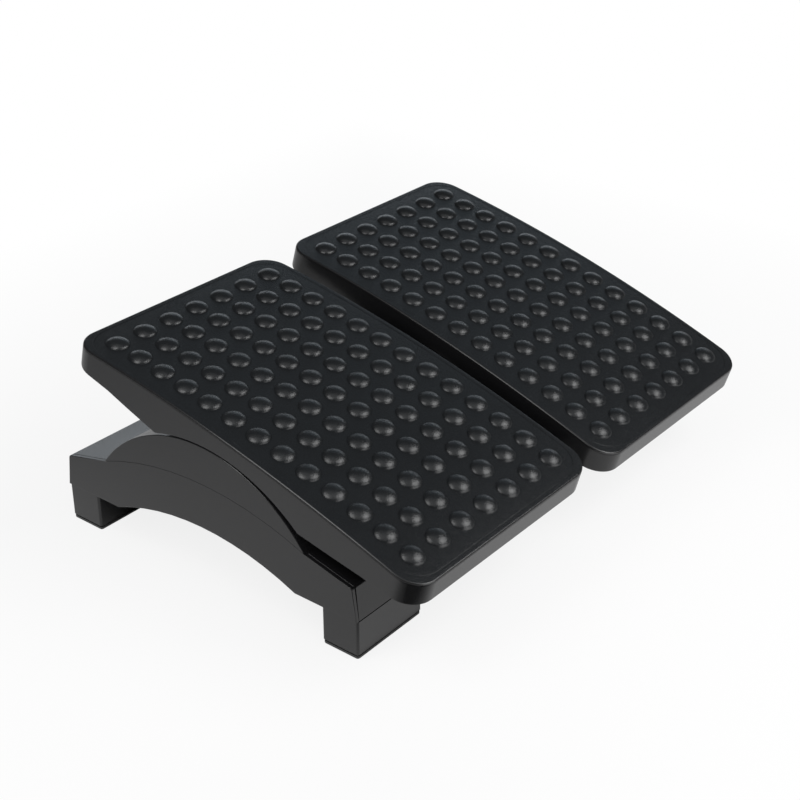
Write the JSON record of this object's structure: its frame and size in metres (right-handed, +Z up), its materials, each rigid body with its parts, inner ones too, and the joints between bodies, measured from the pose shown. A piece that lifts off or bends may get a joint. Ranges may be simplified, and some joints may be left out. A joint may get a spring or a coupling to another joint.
{
  "type": "tilting under desk footrest",
  "caption": "Free-standing under-desk footrest with separate left and right massage pedals that rock like saddles along one arched base.",
  "frame": {"origin": "on the floor, under the middle of the whole footrest's box with the pedals at rest", "axes": "+X across to the user's right, +Y away from the user, +Z up"},
  "size_m": [0.452, 0.3598, 0.1696],
  "materials": {
    "shell": "black satin moulded plastic with a fine grain",
    "mat": "near-black matt top with fine grain and low domes",
    "rubber": "matt black rubber",
    "acetal": "smooth black acetal",
    "steel": "zinc-plated steel screws"
  },
  "bodies": {
    "base": {"base_frame": "shell", "arch_cover": "shell", "cover_screw_1": "steel", "cover_screw_2": "steel", "cover_screw_3": "steel", "cover_screw_4": "steel", "cover_screw_5": "steel", "cover_screw_6": "steel", "cover_screw_7": "steel", "cover_screw_8": "steel", "left_side_panel": "shell", "left_panel_screw_1": "steel", "left_panel_screw_2": "steel", "left_panel_screw_3": "steel", "front_left_leg": "shell", "front_left_foot_pad": "rubber", "left_front_stop": "rubber", "front_left_leg_screw_1": "steel", "front_left_leg_screw_2": "steel", "rear_left_leg": "shell", "rear_left_foot_pad": "rubber", "left_rear_stop": "rubber", "rear_left_leg_screw_1": "steel", "rear_left_leg_screw_2": "steel", "right_side_panel": "shell", "right_panel_screw_1": "steel", "right_panel_screw_2": "steel", "right_panel_screw_3": "steel", "front_right_leg": "shell", "front_right_foot_pad": "rubber", "right_front_stop": "rubber", "front_right_leg_screw_1": "steel", "front_right_leg_screw_2": "steel", "rear_right_leg": "shell", "rear_right_foot_pad": "rubber", "right_rear_stop": "rubber", "rear_right_leg_screw_1": "steel", "rear_right_leg_screw_2": "steel"},
    "left_pedal": {"left_pedal_tray": "shell", "left_massage_mat": "mat", "left_guide_stem": "acetal", "left_friction_pad": "rubber", "left_keeper_plate": "acetal", "left_inner_glide_shoe": "acetal", "left_outer_glide_shoe": "acetal", "left_keeper_screw_1": "steel", "left_keeper_screw_2": "steel"},
    "right_pedal": {"right_pedal_tray": "shell", "right_massage_mat": "mat", "right_guide_stem": "acetal", "right_friction_pad": "rubber", "right_keeper_plate": "acetal", "right_inner_glide_shoe": "acetal", "right_outer_glide_shoe": "acetal", "right_keeper_screw_1": "steel", "right_keeper_screw_2": "steel"}
  },
  "joints": [
    {"name": "left_pedal_tilt", "type": "hinge", "parent": "base", "child": "left_pedal", "pos_m": [-0.11785, 0.02743, -0.007], "axis": [1, 0, 0], "range_deg": [-33.31, 4.69]},
    {"name": "right_pedal_tilt", "type": "hinge", "parent": "base", "child": "right_pedal", "pos_m": [0.11785, 0.02743, -0.007], "axis": [1, 0, 0], "range_deg": [-34.72, 3.28]}
  ]
}
